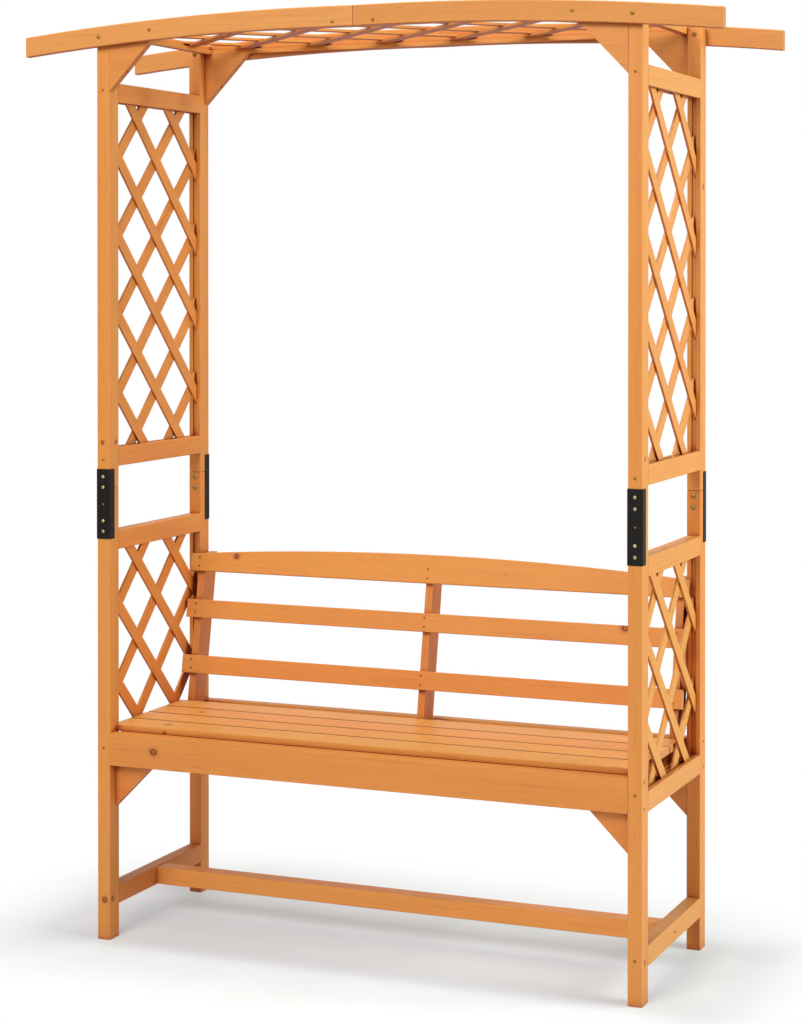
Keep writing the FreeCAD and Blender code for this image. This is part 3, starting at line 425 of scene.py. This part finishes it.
for side in ("left", "right"):
    for level in ("lower", "upper"):
        crossed_strips(f"{side}_{level}_lattice", STRIP_STAINS_WITH_PAINTED_LIGHT[side], "X", "X_AXIS", SIDE_PITCH)
crossed_strips("roof_lattice", STRIP_STAINS_WITH_PAINTED_LIGHT["roof"], "Z", "Z_AXIS", ROOF_PITCH,
               ROOF_STEPS["lower"], ROOF_STEPS["upper"])


# Splice brackets. Channels of folded sheet steel over the lapped joints of the
# posts, powder-coated matte black, with a spare hole in the middle of the web.

BLACK_COAT = (0.0066, 0.0048, 0.0036)
DUSTY_COAT = (0.013, 0.0102, 0.0084)
PEEL_GRAIN = 1400.0
PEEL_RELIEF = 0.0003
DUST_GRAIN = 60.0


def black_coat():
    """A fine orange-peel skin, a little duller and lighter where dust clings."""
    finish = Finish("black_powder_coat")
    place = finish.step("TexCoord", output=3)
    peel = finish.noise(place, PEEL_GRAIN, 2.0, 0.5)
    dust = finish.noise(place, DUST_GRAIN, 3.0, 0.6)
    colour = finish.tint(finish.rise(dust, 0.35, 0.8, 0.0, 0.5), BLACK_COAT, DUSTY_COAT)
    finish.feed(finish.shader.inputs["Base Color"], colour)
    finish.feed(finish.shader.inputs["Roughness"], finish.rise(dust, 0.3, 0.7, 0.46, 0.60))
    finish.feed(finish.shader.inputs["Normal"], finish.step("Bump", 0.25, PEEL_RELIEF, None, peel))
    finish.shader.inputs["Specular IOR Level"].default_value = 0.14
    return finish.material


powder_coat = black_coat()
for side in ("left", "right"):
    for end in ("front", "rear"):
        dress(f"{side}_{end}_splice_bracket", powder_coat)


# Screws and bolts. Turned steel plated with zinc: pale on the bracket screws,
# golden on the lap bolts, yellow on the beam bolts and frame screws, and dark on
# the small countersunk screws. The plate is duller in places on all of them.

PATCH_GRAIN = 380.0
TURNING_GRAIN = (300, 2600, 2600)
TURNING_RELIEF = 0.0002
DULLING = 0.16


def zinc_plate(name, bright, dull, sheen):
    """Plate that is bright and dull in patches, with fine turning marks."""
    finish = Finish(name)
    place = finish.step("TexCoord", output=3)
    patch = finish.noise(place, PATCH_GRAIN, 3.0, 0.6)
    scratch = finish.noise(finish.stretch(place, TURNING_GRAIN), 1.0, 2.0, 0.5)
    colour = finish.tint(finish.rise(patch, 0.35, 0.65), bright, dull)
    roughness = finish.rise(patch, 0.3, 0.7, sheen, sheen + DULLING)
    relief = finish.step("Bump", 0.12, TURNING_RELIEF, None, scratch)
    finish.feed(finish.shader.inputs["Base Color"], colour)
    finish.feed(finish.shader.inputs["Roughness"], roughness)
    finish.feed(finish.shader.inputs["Normal"], relief)
    finish.shader.inputs["Metallic"].default_value = 1.0
    return finish.material


yellow_zinc = zinc_plate("yellow_zinc", bright=(0.34, 0.20, 0.050),
                         dull=(0.22, 0.12, 0.026), sheen=0.42)
pale_zinc = zinc_plate("pale_zinc", bright=(0.54, 0.47, 0.23),
                       dull=(0.30, 0.24, 0.10), sheen=0.40)
golden_zinc = zinc_plate("golden_zinc", bright=(0.40, 0.27, 0.10),
                         dull=(0.20, 0.11, 0.03), sheen=0.36)
dark_plate = zinc_plate("dark_screw_plate", bright=(0.36, 0.115, 0.012),
                        dull=(0.24, 0.070, 0.008), sheen=0.46)
for group in ("beam_bolts", "frame_screws"):
    dress(group, yellow_zinc)
dress("bracket_screws", pale_zinc)
dress("lap_bolts", golden_zinc)
dress("wood_screws", dark_plate)


# Aprons and bearers. Two deep boards of fir between the posts carry the seat.
# Three battens run from one to the other under the slats, tenoned into them, and
# a cleat is screwed on behind the front one.

# The aprons are stained darker, which paints the shade low on the seat.
APRON_SHADED_STAIN = (0.665, 0.230, 0.045)
apron_knots = {"front_apron": [((-0.480, -0.2325, 0.419), 0.0076, "y")]}
for end in ("front", "rear"):
    stained_board(f"{end}_apron", "x", APRON_SHADED_STAIN, apron_knots.get(f"{end}_apron", ()))
for place in ("left", "middle", "right"):
    stained_board(f"{place}_seat_bearer", "y")
stained_board("front_seat_cleat", "x")


# Seat slats. Four planed boards of fir with a narrow gap between them, the front
# one notched round the posts. Screwed from below, so nothing shows on top.

SLAT_STAIN = (0.735, 0.300, 0.062)
SLAT_WIDTH = 0.075
slat_knots = {
    1: [((-0.480, -0.164, 0.4665), 0.006, "z"), ((-0.4697, -0.202, 0.4555), 0.0034, "y")],
    3: [((-0.480, -0.005, 0.4665), 0.006, "z")],
}
# Each slat gets painted shade along the edges that lie close to the next slat.
for number in range(1, 5):
    close_sides = (1,) if number == 1 else (-1, 1)
    stained_board(f"seat_slat_{number}", "x", SLAT_STAIN, slat_knots.get(number, ()),
                  close_sides=close_sides, half_width=SLAT_WIDTH / 2)


# Back. Three leaning uprights of fir screwed to the bearers, with two straight
# rails and an arched crest rail on their fronts.

BACK_SLOPE = 0.187
LEAN = math.atan(BACK_SLOPE)
BACK_STAIN = (0.718, 0.268, 0.060)
# The flanks of the uprights get painted shade.
for place in ("left", "middle", "right"):
    stained_board(f"{place}_back_upright", "z", BACK_STAIN, lean=LEAN, shaded_flanks=True)
rail_knots = {
    "middle_back_rail": [((0.465, 0.14, 0.691), 0.008, "y")],
    "crest_rail": [((-0.480, 0.165, 0.798), 0.006, "y")],
}
for rail in ("lower_back_rail", "middle_back_rail", "crest_rail"):
    stained_board(rail, "x", BACK_STAIN, rail_knots.get(rail, ()))


# Gussets. Triangles of fir cut from a board, screwed into the corners under the
# roof and behind the aprons.

TOP_GUSSET_STAIN = (0.665, 0.250, 0.056)
# The seat gussets are stained darker, which paints the shade behind the aprons.
SEAT_GUSSET_SHADED_STAIN = (0.620, 0.200, 0.040)
stained_board("top_gussets", "x", TOP_GUSSET_STAIN)
stained_board("seat_gussets", "x", SEAT_GUSSET_SHADED_STAIN)


# Foot stretcher. One long rail of fir between the two foot rails, held by a
# screw through each of them.

STRETCHER_STAIN = (0.800, 0.300, 0.066)
stained_board("foot_stretcher", "x", STRETCHER_STAIN)


# Roof. Two arched beams of fir, each of two lengths that meet in the middle,
# bolted to the outsides of the posts; straight ledgers behind them, and end rails
# between the ledgers, hold the roof lattice.

# The left beams are stained lighter and more golden and the right beams darker, which paints light
# on the left and shade on the right.
BEAM_LIT_AND_SHADED_STAINS = {"left": (0.700, 0.292, 0.076), "right": (0.625, 0.234, 0.052)}
for end in ("front", "rear"):
    for side, stain in BEAM_LIT_AND_SHADED_STAINS.items():
        stained_board(f"{end}_{side}_beam", "x", stain)
    stained_board(f"{end}_ledger", "x")
for side in ("left", "right"):
    stained_board(f"{side}_roof_end_rail", "y")


# Floor, light and background. A wide pale studio floor that keeps the soft
# shadow of the seat and is plain white further off, in a white room with three
# soft lamps.

FLOOR_REACH = 9.0
FLOOR_PALE = (0.88, 0.86, 0.88)
FLOOR_PALER = (0.91, 0.89, 0.91)
SHADED_FLOOR = (0.94, 0.985, 1.0)
SHADE_MIDDLE = (0.06, -0.06, 0.0)
SHADE_HALF_SIZE = (0.60, 0.23, 0.0)
SHADE_REACH = 0.30
FADE_NEAR = 0.08
FADE_FAR = 0.52
NEAR_GLOW = 0.30


def studio_floor():
    """Keeps the shadow near the seat; the camera sees it fade to white further off."""
    finish = Finish("studio_floor")
    place = finish.step("TexCoord", output=3)
    mottle = finish.noise(place, 3.0, 2.0, 0.5)
    colour = finish.tint(finish.rise(mottle, 0.3, 0.7), FLOOR_PALE, FLOOR_PALER)
    finish.shader.inputs["Roughness"].default_value = 0.55
    finish.shader.inputs["Specular IOR Level"].default_value = 0.2
    from_middle = finish.step("VectorMath", place, SHADE_MIDDLE, operation="SUBTRACT")
    level = finish.stretch(from_middle, (1, 1, 0))
    sideways = finish.step("VectorMath", level, operation="ABSOLUTE")
    outside = finish.step("VectorMath", sideways, SHADE_HALF_SIZE, operation="SUBTRACT")
    outside = finish.step("VectorMath", outside, (0.0, 0.0, 0.0), operation="MAXIMUM")
    away = finish.step("VectorMath", outside, output=1, operation="LENGTH")
    # Near the seat a cooler tint is painted on the floor, against the orange light that the wood
    # throws on it.
    shade = finish.rise(away, 0.0, SHADE_REACH, 1.0, 0.0)
    colour = finish.tint(shade, colour, SHADED_FLOOR, "MULTIPLY")
    finish.feed(finish.shader.inputs["Base Color"], colour)
    by_camera = finish.step("LightPath")
    glow = finish.tree.nodes.new("ShaderNodeEmission")
    paled = finish.tree.nodes.new("ShaderNodeMixShader")
    fade = finish.rise(away, FADE_NEAR, FADE_FAR, NEAR_GLOW, 1.0)
    finish.feed(paled.inputs[0], finish.times(by_camera, fade))
    finish.feed(paled.inputs[1], finish.shader.outputs[0])
    finish.feed(paled.inputs[2], glow.outputs[0])
    finish.feed(finish.tree.nodes["Material Output"].inputs["Surface"], paled.outputs[0])
    return finish.material


floor_mesh = bpy.data.meshes.new("floor")
corner_signs = ((-1, -1), (1, -1), (1, 1), (-1, 1))
floor_corners = [(x * FLOOR_REACH, y * FLOOR_REACH, 0.0) for x, y in corner_signs]
floor_mesh.from_pydata(floor_corners, [], [(0, 1, 2, 3)])
floor = bpy.data.objects.new("floor", floor_mesh)
floor_mesh.materials.append(studio_floor())
bpy.context.scene.collection.objects.link(floor)


def soft_lamp(name, place, target, width, height, watts, colour=(1, 1, 1)):
    lamp = bpy.data.lights.new(name, "AREA")
    lamp.shape = "RECTANGLE"
    lamp.size = width
    lamp.size_y = height
    lamp.energy = watts
    lamp.color = colour
    holder = bpy.data.objects.new(name, lamp)
    holder.location = place
    holder.rotation_euler = (Vector(target) - Vector(place)).to_track_quat("-Z", "Y").to_euler()
    bpy.context.scene.collection.objects.link(holder)


soft_lamp("front_lamp", place=(-0.3, -4.9, 4.0), target=(0.0, 0.0, 0.9),
          width=2.8, height=2.2, watts=199)
soft_lamp("right_lamp", place=(4.4, 0.2, 2.2), target=(0.3, 0.0, 1.1),
          width=2.6, height=2.4, watts=164, colour=(0.82, 1.0, 0.93))
soft_lamp("top_lamp", place=(0.0, 0.0, 5.2), target=(0.0, 0.0, 0.6),
          width=0.8, height=0.7, watts=146, colour=(0.92, 1.0, 0.92))

# The camera and reflections see a white room, which lights the seat only dimly.
ROOM_LIGHT = 0.18
world = bpy.data.worlds.new("white_room")
world.use_nodes = True
bpy.context.scene.world = world
room = world.node_tree
ray = room.nodes.new("ShaderNodeLightPath")
seen = room.nodes.new("ShaderNodeMath")
seen.operation = "MAXIMUM"
room.links.new(ray.outputs["Is Camera Ray"], seen.inputs[0])
room.links.new(ray.outputs["Is Glossy Ray"], seen.inputs[1])
through = room.nodes.new("ShaderNodeMath")
through.operation = "MAXIMUM"
room.links.new(seen.outputs[0], through.inputs[0])
room.links.new(ray.outputs["Is Transmission Ray"], through.inputs[1])
strength = room.nodes.new("ShaderNodeMapRange")
strength.inputs["To Min"].default_value = ROOM_LIGHT
strength.inputs["To Max"].default_value = 1.0
room.links.new(through.outputs[0], strength.inputs["Value"])
background = room.nodes["Background"]
background.inputs["Color"].default_value = (1, 1, 1, 1)
room.links.new(strength.outputs[0], background.inputs["Strength"])

bpy.context.scene.view_settings.view_transform = "Standard"
